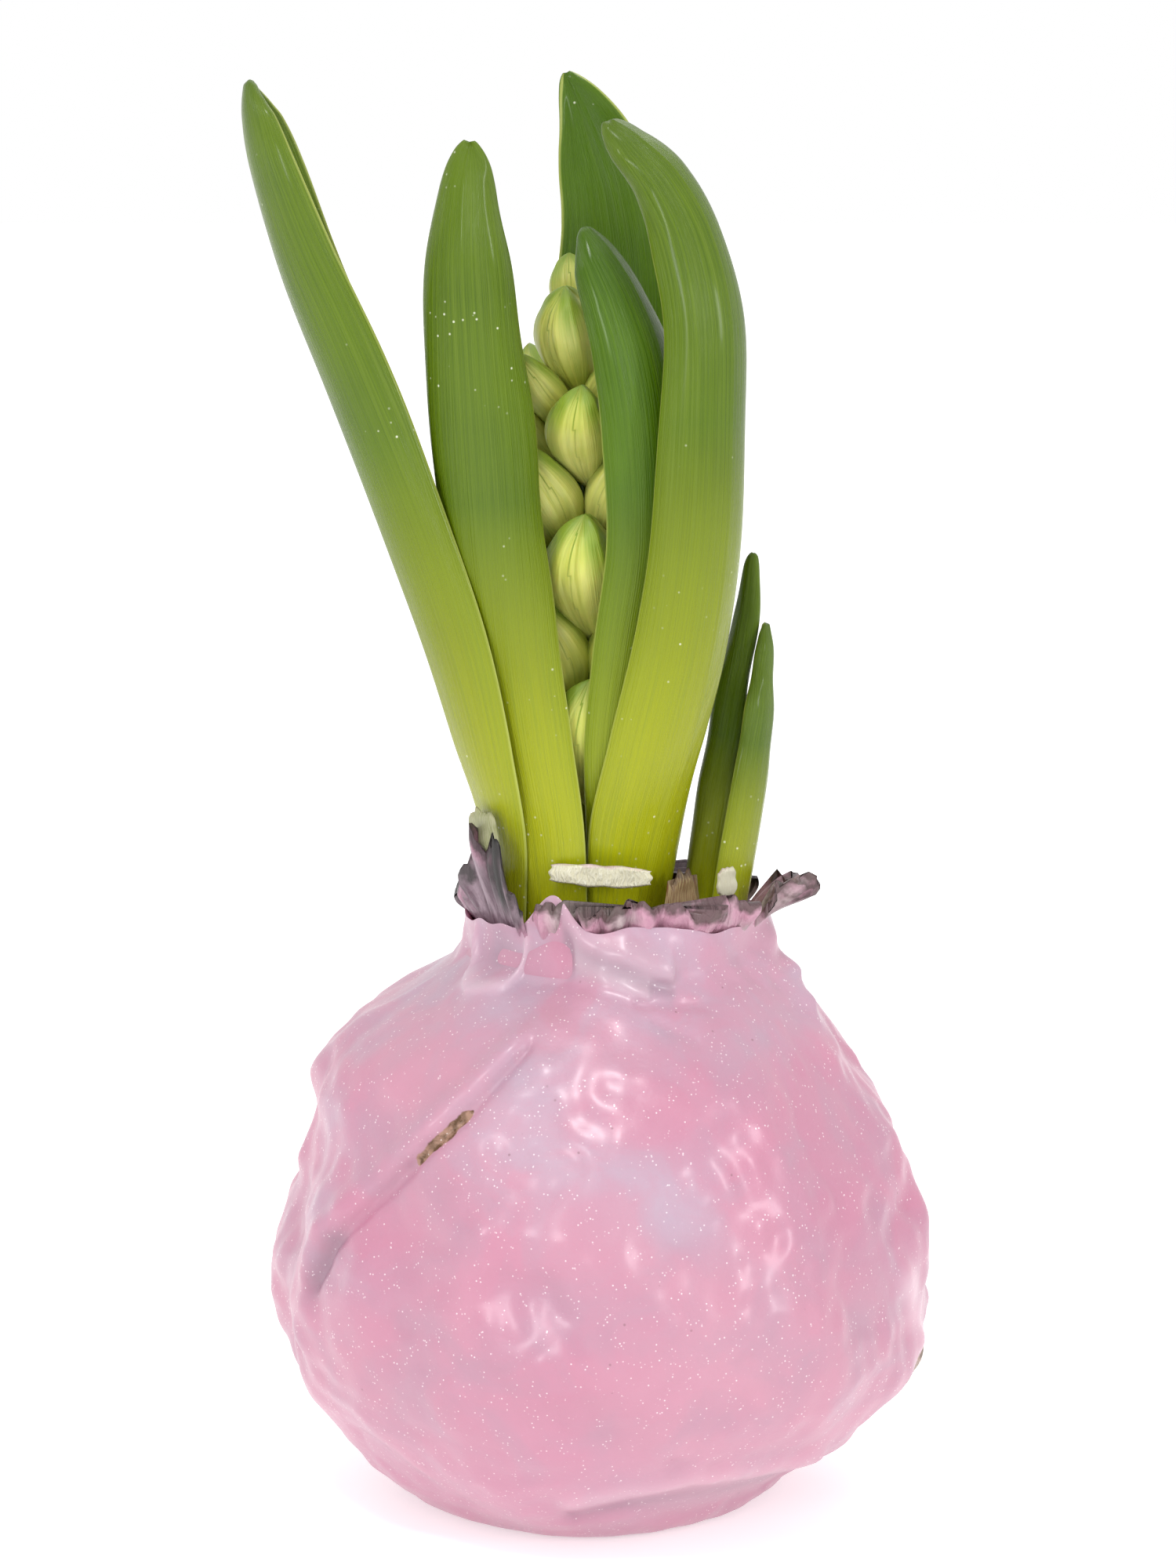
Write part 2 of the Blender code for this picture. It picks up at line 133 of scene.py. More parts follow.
def closed_skin(name, rings, layers, material, replaced):
    """A piece from rings (rows, columns, 3): quads between rows, a fan to a pole at each end."""
    rows, columns = rings.shape[:2]
    spot = np.arange(rows * columns).reshape(rows, columns)
    beside = np.roll(spot, -1, axis=1)
    quads = np.stack([spot[:-1], beside[:-1], beside[1:], spot[1:]], -1).reshape(-1, 4)
    low_pole = rows * columns
    fans = np.concatenate([
        np.stack([beside[0], spot[0], np.full(columns, low_pole)], -1),
        np.stack([spot[-1], beside[-1], np.full(columns, low_pole + 1)], -1),
    ])
    points = np.concatenate([rings.reshape(-1, 3), rings[0].mean(0)[None], rings[-1].mean(0)[None]])
    corners = points[quads]
    volume = np.einsum("ij,ij->i", corners[:, 0], np.cross(corners[:, 1], corners[:, 2])).sum()
    volume += np.einsum("ij,ij->i", corners[:, 0], np.cross(corners[:, 2], corners[:, 3])).sum()
    if volume < 0:
        quads = quads[:, ::-1]
        fans = fans[:, ::-1]
    mesh = bpy.data.meshes.new(name)
    mesh.from_pydata(points.tolist(), [], quads.tolist() + fans.tolist())
    for layer, values in layers.items():
        full = np.concatenate([values.reshape(-1), [values[0].mean(), values[-1].mean()]])
        mesh.attributes.new(layer, "FLOAT", "POINT").data.foreach_set("value", full.astype(np.float32))
    mesh.materials.append(material)
    mesh.shade_smooth()
    piece = bpy.data.objects.new(name, mesh)
    bpy.context.scene.collection.objects.link(piece)
    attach(piece, "root")
    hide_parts(replaced)
    print(name, "quads", len(quads))


def two_sided(middle, half_thickness):
    """Rings round a sheet (rows, columns, 3): along its front, then back along its other side."""
    down = np.gradient(middle, axis=0)
    across = np.gradient(middle, axis=1)
    normal = unit(np.cross(down, across))
    front = middle + normal * half_thickness[..., None]
    back = middle - normal * half_thickness[..., None]
    return np.concatenate([front, back[:, -2:0:-1]], axis=1)


def both_sides(values):
    """The same values or vectors on the front and the back of a two-sided sheet."""
    return np.concatenate([values, values[:, -2:0:-1]], axis=1)


def margin_to_margin(columns):
    """Places from -1 to 1 that lie closer together near the margins: sin of even angles."""
    return np.sin(np.linspace(-math.pi / 2, math.pi / 2, columns))


print("columns from margin to margin:", margin_to_margin(5).round(2))

# %% [markdown]
# ## Materials as sums
# A finish is a sum of a few patterns: veins, blotches, specks. Wrapping a node's output in a small
# class lets such a sum be written as ordinary arithmetic, and each operator adds its Math node.

# %% One class for shader arithmetic


class Socket:
    """The output of a node, with arithmetic that adds Math nodes to its tree."""

    def __init__(self, tree, output):
        self.tree = tree
        self.output = output

    def math(self, operation, *values):
        """One Math node on these values, which may be numbers or other outputs."""
        sockets = dict(enumerate(values))
        node = add_node(self.tree, "ShaderNodeMath", {"operation": operation}, sockets)
        return Socket(self.tree, node.outputs[0])

    def __add__(self, other):
        return self.math("ADD", self, other)

    def __sub__(self, other):
        return self.math("SUBTRACT", self, other)

    def __rsub__(self, other):
        return self.math("SUBTRACT", other, self)

    def __mul__(self, other):
        return self.math("MULTIPLY", self, other)

    __radd__ = __add__
    __rmul__ = __mul__

    def between(self, low, high):
        """0 below low, 1 above high, straight in between; low may be the larger one."""
        settings = {"clamp": True}
        values = {0: self, 1: low, 2: high, 3: 0.0, 4: 1.0}
        node = add_node(self.tree, "ShaderNodeMapRange", settings, values)
        return Socket(self.tree, node.outputs[0])


def add_node(tree, kind, settings, values):
    """A node of this kind: its settings first, then the values or links of its sockets."""
    node = tree.nodes.new(kind)
    for setting, value in settings.items():
        setattr(node, setting, value)
    for socket, value in values.items():
        if isinstance(value, Socket):
            tree.links.new(value.output, node.inputs[socket])
        else:
            node.inputs[socket].default_value = value
    return node


class Finish:
    """A Principled material under construction, with the few patterns that the plant needs."""

    def __init__(self, name, **constants):
        self.material = bpy.data.materials.new(name)
        self.material.use_nodes = True
        self.tree = self.material.node_tree
        self.shader = self.tree.nodes["Principled BSDF"]
        for socket, value in constants.items():
            self.shader.inputs[socket.replace("_", " ")].default_value = value
        place = add_node(self.tree, "ShaderNodeTexCoord", {}, {})
        self.place = Socket(self.tree, place.outputs["Object"])

    def layer(self, name):
        """A value kept on the mesh's own points."""
        node = add_node(self.tree, "ShaderNodeAttribute", {"attribute_name": name}, {})
        return Socket(self.tree, node.outputs["Fac"])

    def stretched(self, x, y, z):
        """The object's coordinates, scaled per axis."""
        values = {"Vector": self.place, "Scale": (x, y, z)}
        node = add_node(self.tree, "ShaderNodeMapping", {}, values)
        return Socket(self.tree, node.outputs[0])

    def joined(self, x, y, z):
        """Three values as one vector, so that a pattern can follow the surface."""
        node = add_node(self.tree, "ShaderNodeCombineXYZ", {}, {0: x, 1: y, 2: z})
        return Socket(self.tree, node.outputs[0])

    def noise(self, scale, detail=3.0, vector=None, distortion=0.0):
        """Soft noise about 0.5, on the object's coordinates unless a vector is given."""
        values = {"Vector": vector or self.place, "Scale": scale, "Detail": detail}
        values["Distortion"] = distortion
        node = add_node(self.tree, "ShaderNodeTexNoise", {}, values)
        return Socket(self.tree, node.outputs[0])

    def cells(self, scale):
        """How far a point lies from the nearest of many scattered points: 0 at each of them."""
        node = add_node(self.tree, "ShaderNodeTexVoronoi", {}, {"Vector": self.place, "Scale": scale})
        return Socket(self.tree, node.outputs["Distance"])

    def mix(self, share, first, second):
        """The first colour where share is 0 and the second where it is 1."""
        node = add_node(self.tree, "ShaderNodeMix", {"data_type": "RGBA"}, {})
        colours = [socket for socket in node.inputs if socket.type == "RGBA"]
        for target, value in ((node.inputs[0], share), (colours[0], first), (colours[1], second)):
            if isinstance(value, Socket):
                self.tree.links.new(value.output, target)
            else:
                target.default_value = (*value, 1.0) if target.type == "RGBA" else value
        mixed = next(socket for socket in node.outputs if socket.type == "RGBA")
        return Socket(self.tree, mixed)

    def wear(self, colour, roughness=None, height=None, distance=0.0003, strength=0.6):
        """Links the finished patterns to the shader and gives back the material."""
        self.tree.links.new(colour.output, self.shader.inputs["Base Color"])
        if roughness:
            self.tree.links.new(roughness.output, self.shader.inputs["Roughness"])
        if height:
            values = {"Height": height, "Distance": distance, "Strength": strength}
            bump = add_node(self.tree, "ShaderNodeBump", {}, values)
            self.tree.links.new(bump.outputs[0], self.shader.inputs["Normal"])
        return self.material


def tint(red, green, blue):
    """A colour given as it is seen, 0 to 255, turned to the linear values that light uses."""
    seen = np.array([red, green, blue]) / 255
    return tuple(np.where(seen <= 0.04045, seen / 12.92, ((seen + 0.055) / 1.055) ** 2.4))


print("tint of mid wax:", tint(233, 173, 198))

# %% [markdown]
# ## Pearl wax
# The dip is pink wax with a pearl pigment. Its colour drifts between rose and lilac, it is satin
# under a thin gloss, and fine flecks glitter, their glint painted near-white into the colour. Layers
# painted on the mesh carry painted shade in folds, creases and hollows, a paler flaked edge, a painted
# pale highlight on ridge tops, a painted lilac sheen where the front highlight falls, and ragged
# brown where bulb skin shows through.

# %% The wax finish


def pearl_wax():
    """Rose and lilac drift, painted shade, highlight and sheen, ragged brown skin, glinting flecks."""
    wax = Finish(
        "pearl_wax", Coat_Weight=0.4, Coat_Roughness=0.24, Subsurface_Weight=0.08, Subsurface_Scale=0.004
    )
    wax.shader.inputs["Subsurface Radius"].default_value = (1.0, 0.45, 0.55)
    drift = wax.noise(38, 3).between(0.35, 0.68)
    cloud = wax.noise(120, 4, distortion=0.6).between(0.42, 0.66)
    colour = wax.mix(drift, tint(180, 117, 141), tint(185, 131, 150))
    colour = wax.mix(cloud * 0.5, colour, tint(162, 129, 147))
    # lilac tone near the neck and in a streak, plus a paler lilac sheen painted where the front highlight
    # falls
    colour = wax.mix(wax.layer("lilac") * (0.3 + cloud * 0.6), colour, tint(172, 150, 167))
    colour = wax.mix(wax.layer("low") * 0.45, colour, tint(198, 148, 168))
    # painted shade: a dark greyish mauve in folds, creases, the pocket and under the lip
    colour = wax.mix(wax.layer("painted_shade") * 0.8, colour, tint(122, 102, 116))
    # the flaked edge is paler wax; along fold tops, the pocket rim and the lip this pale is a painted
    # highlight
    colour = wax.mix(wax.layer("pale") * 0.6, colour, tint(220, 192, 202))
    brown = wax.mix(wax.noise(900, 3).between(0.4, 0.6), tint(84, 54, 20), tint(160, 124, 104))
    ragged = (wax.layer("bare") + (wax.noise(420, 4) - 0.5) * 1.1).between(0.42, 0.55)
    colour = wax.mix(ragged, colour, brown)
    # the flecks are real glitter, but their near-white colour is a painted glint
    glint_fleck = wax.cells(2100).between(0.24, 0.08)
    chosen = wax.noise(900, 1).between(0.50, 0.58)
    colour = wax.mix(glint_fleck * chosen * 0.55, colour, tint(255, 250, 250))
    dark = wax.cells(420).between(0.08, 0.03) * wax.noise(90, 1).between(0.55, 0.6)
    colour = wax.mix(dark * 0.6, colour, tint(120, 84, 92))
    roughness = 0.40 + drift * 0.08 + ragged * 0.3 - glint_fleck * chosen * 0.2
    height = wax.noise(160, 4) * 1.0 + wax.noise(900, 2) * 0.12 + wax.noise(3200, 1) * 0.05
    return wax.wear(colour, roughness, height, distance=0.0006, strength=0.5)


WAX = pearl_wax()
print("made the finish", WAX.name)

# %% [markdown]
# ## The wax coat
# A dipped coat is a turned outline pushed about: swollen where wax ran, hollow where it thinned,
# creased where the bulb's skin cracked beneath it. So it is made as a grid of facing and height,
# and each feature is a hump or a groove added to its radius. Inside, the same skin runs back down.

# %% The turned outline and its swellings
WAX_OUTLINE_MM = (
    (0.4, 0), (10.0, 0), (18.4, 0), (23, 3), (28.6, 8.4), (32.9, 14), (35.6, 20), (35.9, 26),
    (34.9, 32.5), (32.9, 39.5), (30.4, 46), (26.4, 52.4), (21.4, 57.6), (17.7, 61), (16.8, 63.6), (16.7, 65),
)
# Swellings: facing, height, share of the radius, spread in degrees, spread in height
WAX_LUMPS = (
    (183, 51.5, 0.100, 40, 7.5), (355, 50, -0.040, 40, 9), (188, 3, 0.120, 34, 7),
    (318, 2, -0.100, 42, 6), (10, 19, 0.035, 28, 6), (2, 32, 0.022, 26, 5), (95, 30, -0.030, 60, 20),
)
NECK_CENTRE_X_MM = 1.3
WAX_WALL_MM = 1.2
print("widest radius of the wax:", max(radius for radius, _ in WAX_OUTLINE_MM), "mm")


def turn_from(facing, middle):
    """How many degrees a facing lies from a middle one, from -180 to 180."""
    return (facing - middle + 180) % 360 - 180


def wax_radius(facing, height, radius):
    """The outline's radius times 1 + the sum of share exp(-(turn/spread)^2 - (rise/height)^2)."""
    swelling = np.ones_like(facing)
    for middle, at, share, spread, rise in WAX_LUMPS:
        swelling += share * hump(turn_from(facing, middle), 0, spread) * hump(height, at, rise)
    return radius * swelling


# %% Creases, folds and flakes of the wax
MM_PER_DEGREE = 0.55  # round the wax at about its widest


def near_line(facing, height, line, width):
    """1 on a line of (facing, height) points over the wax, fading over a width in millimetres."""
    nearest = np.full(facing.shape, np.inf)
    for (f0, h0), (f1, h1) in zip(line, line[1:]):
        across = turn_from(facing, f0) * MM_PER_DEGREE
        up = height - h0
        run = ((f1 - f0) * MM_PER_DEGREE, h1 - h0)
        share = np.clip((across * run[0] + up * run[1]) / (run[0] ** 2 + run[1] ** 2), 0, 1)
        nearest = np.minimum(nearest, np.hypot(across - share * run[0], up - share * run[1]))
    return np.exp(-((nearest / width) ** 2))


CREASE = ((249, 55), (240, 48.5), (227, 41), (214, 33), (209, 28))
SHOULDER_RIDGE = ((178, 47), (184, 52), (190, 57.5))
NECK_FOLD = ((250, 64.6), (262, 64.4), (277, 63.0), (288, 61.8))
SECOND_FOLD = ((255, 62.6), (266, 61.8), (279, 60.6))
POCKET_RIM = ((203, 64), (207, 60.5), (218, 59.5), (230, 60.5), (233, 64))
WRINKLES = (((276, 59.4), (290, 58.9), (303, 58.2)), ((281, 57.6), (293, 55.6)))
LIP = ((262, 7.2), (275, 8.6), (290, 9.4), (312, 8.6), (322, 8.2))
FLAKED_EDGE = ((338, 27), (352, 14))
BARE_CRACK = ((240, 48.6), (236, 46.2), (231, 43.4))
# painted sheen: a paler lilac band where the front lamp's highlight falls on the wax
PAINTED_SHEEN_BAND = ((250, 49), (262, 45), (282, 41))
LILAC_STREAK = ((200, 44), (215, 30))


def wax_features(facing, height, points):
    """Height of each crease, fold and bump over the plain skin, in millimetres, and its layers."""
    rise = 0.55 * unevenness(points, 30, 3) + 0.32 * unevenness(points, 12, 4)
    rise += 0.09 * unevenness(points, 4, 5)
    sides = np.abs(np.cos(np.radians(facing))) ** 3
    rise += sides * (0.42 * unevenness(points, 13, 6) + 0.1 * unevenness(points, 5, 7))
    crease = near_line(facing, height, CREASE, 0.8)
    rise += 0.9 * near_line(facing, height, [(f - 4, h + 1.2) for f, h in CREASE], 1.6) - 1.0 * crease
    rise += 1.3 * near_line(facing, height, SHOULDER_RIDGE, 2.6)
    folds = near_line(facing, height, NECK_FOLD, 1.3)
    second = near_line(facing, height, SECOND_FOLD, 1.0)
    under = near_line(facing, height, [(f, h - 1.5) for f, h in NECK_FOLD], 0.9)
    rise += 1.0 * folds + 0.8 * second - 0.4 * under
    rim = near_line(facing, height, POCKET_RIM, 0.8)
    pocket = hump(turn_from(facing, 218), 0, 9) * hump(height, 62.6, 2.0)
    rise += 0.8 * rim - 0.4 * pocket
    for line in WRINKLES:
        rise -= 0.5 * near_line(facing, height, line, 0.5)
    horns = hump(turn_from(facing, 352), 0, 4) * hump(height, 59.5, 1.4)
    horns += hump(turn_from(facing, 346), 0, 3.5) * hump(height, 56.5, 1.2)
    rise += 1.3 * horns
    lip = near_line(facing, height, LIP, 1.3)
    under_lip = near_line(facing, height, [(f, h - 2.6) for f, h in LIP], 1.2)
    rise += 1.0 * lip - 0.8 * under_lip
    rise -= 0.8 * hump(turn_from(facing, 343), 0, 3) * hump(height, 34.6, 1.6)
    rise -= 0.7 * hump(turn_from(facing, 284), 0, 3) * hump(height, 12.3, 1.4)
    flake = near_line(facing, height, FLAKED_EDGE, 2.0)
    rise += 0.5 * flake
    # painted shade under the neck folds, in the pocket and the crease, and under the lip
    painted_shade = 0.6 * under + 0.35 * folds + 0.5 * pocket
    painted_shade = painted_shade + 0.7 * near_line(facing, height, CREASE[3:], 1.6) + 0.35 * second + 0.4 * under_lip
    # pale: a paler flaked edge, plus painted highlight along the fold tops, the pocket rim and the lip
    pale = 0.8 * flake + 0.5 * rim + 0.35 * folds + 0.5 * second + 0.35 * lip
    bare = 0.85 * near_line(facing, height, BARE_CRACK, 0.75)
    bare += hump(turn_from(facing, 347), 0, 7) * hump(height, 15, 4.2)
    # lilac: real tone near the neck and in a streak, and a painted sheen along the highlight band
    lilac = near_line(facing, height, PAINTED_SHEEN_BAND, 5.5) + 0.8 * ease(50, 60, height)
    lilac += 0.6 * near_line(facing, height, LILAC_STREAK, 5)
    layers = {"painted_shade": painted_shade, "pale": pale, "bare": bare, "lilac": lilac}
    layers = {name: np.clip(values, 0, 1) for name, values in layers.items()}
    layers["low"] = ease(24, 4, height)
    return rise, layers


# %% Make the wax coat
RIM_RADIUS_MM = 17


def rim_climb(facing):
    """0.5 mm + a tall tongue left of the front + a low one right of it + torn unevenness."""
    circle = np.stack([np.cos(np.radians(facing)), np.sin(np.radians(facing))], -1) * RIM_RADIUS_MM
    torn = 0.3 * unevenness(circle, 12, 11) + 0.1 * unevenness(circle, 5, 12)
    tongues = 4.2 * hump(turn_from(facing, 246), 0, 10) + 1.2 * hump(turn_from(facing, 285), 0, 22)
    return 0.5 + tongues + torn


FACINGS = 440
OUTER_ROWS = 172
INNER_ROWS = 22
INNER_FOOT_MM = 1.4
INNER_TOP_MM = 63.8
LOWEST_RISE_MM = -1.0  # the wax never thins so far that the bulb inside would come through


def make_wax_coat():
    """The swollen outline turned round, its features pushed outwards, and the same skin inside it."""
    facing = np.linspace(0, 360, FACINGS, endpoint=False)[None, :]
    outer = smooth_line(WAX_OUTLINE_MM, np.linspace(0, 1, OUTER_ROWS))
    facing = np.repeat(facing, OUTER_ROWS, 0)
    height = np.repeat(np.maximum(outer[:, 1:], 0), FACINGS, 1)
    radius = wax_radius(facing, height, np.repeat(outer[:, :1], FACINGS, 1))
    turn = np.radians(facing)
    plain = np.stack([radius * np.cos(turn), radius * np.sin(turn), height], -1)
    rise, layers = wax_features(facing, height, plain)
    held = ease(0, 3, height) * ease(65.5, 62.5, height)
    held = np.maximum(held, 0.6 * ease(60, 40, height) * ease(10, 18, radius))
    rise = np.maximum(rise, LOWEST_RISE_MM) * held
    down = np.linspace(1, 0, INNER_ROWS)[:, None]
    inner_height = np.repeat(INNER_FOOT_MM + (INNER_TOP_MM - INNER_FOOT_MM) * down, FACINGS, 1)
    order = np.argsort(outer[:, 1], kind="stable")
    flat = np.interp(inner_height[:, 0], outer[order, 1], outer[order, 0])[:, None]
    inner_turn = np.repeat(facing[:1], INNER_ROWS, 0)
    inner = wax_radius(inner_turn, inner_height, np.repeat(flat, FACINGS, 1)) - WAX_WALL_MM
    inner[-1] *= 0.02  # its last ring nearly closes, and a pole finishes it
    wall_radius = np.concatenate([radius, inner])
    wall_height = np.concatenate([height, inner_height])
    turn = np.radians(np.concatenate([facing, inner_turn]))
    shift = NECK_CENTRE_X_MM * ease(50, 62, wall_height)
    rings = np.stack([wall_radius * np.cos(turn) + shift, wall_radius * np.sin(turn), wall_height], -1)
    for name, values in layers.items():
        layers[name] = np.concatenate([values, np.zeros_like(inner)])
    rings = fit_box(rings * MM, "wax_coat")
    outwards = np.stack([np.cos(turn), np.sin(turn), 0 * turn], -1)
    rings[:OUTER_ROWS] += (outwards[:OUTER_ROWS] * rise[..., None]) * MM
    climb = rim_climb(np.concatenate([facing, inner_turn]))
    rings[..., 2] += climb * MM * ease(61.5, 65, rings[..., 2] / MM)
    closed_skin("wax_skin", rings, layers, WAX, "wax_coat")


make_wax_coat()

# %% [markdown]
# ## Leaves
# A hyacinth leaf is a thick, channelled strap with a hooded tip. Across, it is an arc whose two
# halves curl inwards from the keel; along, the keel climbs through a few stations. Its flesh is
# thickest at the keel and thins to pale margins. Veins run along it, and a waxy bloom greys it.

# %% The leaf finish


def leaf_finish(name, deep, bright, foot, bloom):
    """Deep green veined with bright, yellow at the foot, greyed by bloom towards its margins."""
    leaf = Finish(name, Coat_Weight=0.12, Coat_Roughness=0.14, Specular_IOR_Level=0.25)
    across = leaf.layer("across")
    along = leaf.layer("along")
    veins = leaf.noise(1.0, 2, leaf.joined(across * 64, along * 2.2, leaf.layer("side") * 5))
    fine = leaf.noise(1.0, 3, leaf.joined(across * 150, along * 7, 2.0))
    blotch = leaf.noise(55, 3).between(0.2, 0.85)
    colour = leaf.mix(blotch, deep, bright)
    colour = leaf.mix(veins.between(0.40, 0.64) * 0.6, colour, bright)
    colour = leaf.mix(along.between(0.5, 0.0) * 0.92, colour, foot)
    frost = leaf.noise(1.0, 4, leaf.joined(across * 30, along * 5, 7.0)).between(0.5, 0.72)
    edge = (across * across).between(0.35, 1.0)
    colour = leaf.mix(frost * 0.3 + edge * 0.22, colour, bloom)
    colour = leaf.mix((across * across).between(0.93, 0.99) * 0.7, colour, tint(170, 178, 92))
    dust = leaf.cells(800).between(0.13, 0.05) * leaf.noise(75, 2).between(0.54, 0.62)
    colour = leaf.mix(dust * 0.7, colour, tint(235, 236, 215))
    roughness = 0.2 + frost * 0.14 + fine * 0.12 + dust * 0.2
    height = veins * 0.9 + fine * 0.35 + leaf.noise(260, 3) * 0.35
    return leaf.wear(colour, roughness, height, distance=0.00035, strength=0.5)


MID_LEAF = leaf_finish(
    "leaf_green", tint(54, 80, 1), tint(90, 114, 3), tint(180, 182, 16), tint(108, 128, 34)
)
# painted shade: a darker copy of the leaf finish for the back and inner leaves
SHADED_LEAF = leaf_finish(
    "leaf_shaded", tint(42, 74, 1), tint(78, 110, 2), tint(158, 164, 12), tint(84, 110, 12)
)
print("finishes so far:", [material.name for material in bpy.data.materials])

# %% Leaf stations: keel x, y, z, facing of the back, half width, curl of each half
LEAVES = {
    "leaf_left": (
        (-11.9, -2.7, 61.35, 195, 5.6, 32), (-13.0, -3.6, 74.5, 196, 7.5, 40),
        (-16.0, -5.9, 85.0, 198, 8.2, 60), (-19.3, -7.6, 96.0, 197, 8.6, 80),
        (-23.9, -8.4, 109.0, 192, 9.0, 95), (-29.2, -8.0, 123.0, 186, 9.2, 102),
        (-34.0, -7.2, 135.0, 181, 8.8, 102), (-37.0, -6.6, 145.5, 178, 7.2, 98),
        (-37.8, -6.2, 151.5, 177, 5.0, 90), (-37.6, -6.0, 155.2, 177, 1.4, 60),
    ),
    "leaf_front_left": (
        (-7.0, -7.6, 61.35, 237, 5.3, 34), (-8.4, -8.2, 74.5, 232, 6.6, 40),
        (-10.2, -9.3, 85.0, 228, 7.2, 52), (-11.7, -10.5, 95.0, 233, 7.2, 60),
        (-13.0, -12.6, 106.0, 248, 7.3, 66), (-13.7, -14.0, 117.0, 258, 7.2, 70),
        (-14.3, -15.0, 128.0, 262, 6.6, 72), (-14.6, -15.0, 137.5, 263, 5.4, 72),
        (-14.4, -14.4, 144.5, 263, 3.7, 66), (-14.0, -13.4, 149.2, 263, 1.0, 50),
    ),
    "leaf_front_right": (
        (2.8, -5.9, 61.35, 308, 5.2, 42), (5.6, -6.9, 74.5, 315, 8.2, 58),
        (8.4, -10.4, 85.0, 316, 8.8, 74), (10.8, -13.0, 95.0, 316, 8.9, 84),
        (12.4, -14.8, 107.0, 315, 8.6, 90), (12.9, -15.0, 120.0, 315, 8.1, 92),
        (12.6, -14.3, 131.0, 316, 7.5, 94), (10.6, -12.8, 139.5, 318, 6.9, 93),
        (7.1, -11.3, 145.5, 320, 5.6, 92), (2.9, -10.0, 149.3, 322, 3.5, 88),
        (0.2, -9.0, 150.8, 322, 1.2, 70),
    ),
    "leaf_inner_right": (
        (1.9, -4.2, 61.35, 308, 3.6, 36), (2.9, -5.2, 74.5, 310, 5.2, 44),
        (3.7, -9.2, 85.0, 308, 6.2, 54), (5.3, -10.1, 95.0, 312, 7.0, 64),
        (7.0, -10.8, 107.0, 316, 7.4, 72), (6.6, -10.9, 119.0, 320, 7.7, 82),
        (5.3, -10.6, 127.0, 322, 7.6, 88), (2.9, -9.6, 133.0, 322, 6.2, 86),
        (0.3, -8.6, 137.0, 322, 4.2, 85), (-2.2, -7.6, 139.8, 322, 1.3, 70),
    ),
    "leaf_back": (
        (-2.7, 7.7, 61.35, 95, 7.0, 50), (-2.4, 10.4, 75.0, 94, 7.4, 44),
        (-1.2, 13.0, 95.0, 92, 7.5, 38), (1.0, 14.0, 115.0, 90, 7.6, 38),
        (1.8, 13.6, 131.0, 90, 7.2, 40), (0.8, 12.6, 141.5, 90, 6.2, 42),
        (-1.4, 11.7, 149.0, 91, 4.3, 45), (-4.1, 11.0, 155.6, 93, 0.9, 40),
    ),
    "offset_leaf_outer": (
        (13.9, -2.6, 61.35, 335, 3.9, 70), (15.6, -2.6, 71.0, 335, 4.2, 75),
        (17.0, -2.1, 80.0, 335, 4.0, 78), (17.8, -1.5, 88.0, 335, 3.2, 80),
        (17.7, -0.8, 94.0, 335, 1.9, 75), (17.4, -0.2, 97.2, 335, 0.6, 50),
    ),
    "offset_leaf_inner": (
        (9.8, -0.6, 61.35, 238, 2.1, 50), (10.3, -0.6, 70.0, 236, 2.3, 56),
        (11.7, -0.6, 80.0, 235, 2.5, 60), (13.5, 0.0, 90.0, 235, 2.2, 60),
        (15.2, 0.4, 99.0, 235, 1.6, 56), (16.0, 0.6, 104.7, 235, 0.5, 45),
    ),
}

print("leaves to make:", len(LEAVES))

# %% A leaf's sheet and its pieces
TIP_FROM = 0.93  # from this share of its length a leaf's tip is rounded off
TIP_END = 1.004  # just past the tip, so that the last row keeps a little width


def leaf_sheet(stations, rows, columns):
    """keel + sideways (w/curl) sin(curl v) + inwards (w/curl)(1 - cos(curl v)), v from -1 to 1."""
    share = np.linspace(0, 1, rows)
    line = smooth_line(stations, share)
    keel = line[:, :3]
    along = unit(smooth_line(stations, share + 0.01)[:, :3] - smooth_line(stations, share - 0.01)[:, :3])
    back = np.radians(line[:, 3])
    outwards = np.stack([np.cos(back), np.sin(back), np.zeros(rows)], -1)
    outwards = unit(outwards - along * (outwards * along).sum(-1, keepdims=True))
    sideways = np.cross(along, outwards)
    curl = np.radians(line[:, 5])[:, None]
    across = margin_to_margin(columns)[None, :]
    rounded = np.sqrt(1 - (np.clip(share - TIP_FROM, 0, 1) / (TIP_END - TIP_FROM)) ** 2)[:, None]
    radius = (line[:, 4:5] * rounded / curl)[..., None]
    turn = (curl * across)[..., None]
    sheet = keel[:, None] + sideways[:, None] * radius * np.sin(turn)
    return sheet - outwards[:, None] * radius * (1 - np.cos(turn)), across, share[:, None]


def make_leaf(name, stations, half_thickness, rows, columns, material, seed):
    """The leaf's sheet, rippled where it is free, as thick as sqrt(1 - v^6) towards its margins."""
    sheet, across, along = leaf_sheet(stations, rows, columns)
    across = np.repeat(across, rows, 0)
    along = np.repeat(along, columns, 1)
    ripple = unevenness(np.stack([across * 1.2, along * 9], -1), 2.2, seed)
    down = np.gradient(sheet, axis=0)
    normal = unit(np.cross(down, np.gradient(sheet, axis=1)))
    free = ease(0.25, 0.6, along) * 0.22
    sheet = sheet + normal * (ripple * free * (0.3 + across**2))[..., None]
    keel_ridge = 0.25 * hump(across, 0, 0.07)
    thickness = half_thickness * (1 + keel_ridge) * np.sqrt(1 - across**6) * ease(-0.02, 0.03, 1 - along)
    rings = two_sided(sheet, thickness)
    side = np.concatenate([np.zeros_like(across), np.ones_like(across[:, 1:-1])], axis=1)
    layers = {"across": both_sides(across), "along": both_sides(along), "side": side}
    closed_skin(f"{name}_blade", fit_box(rings * MM, name), layers, material, name)


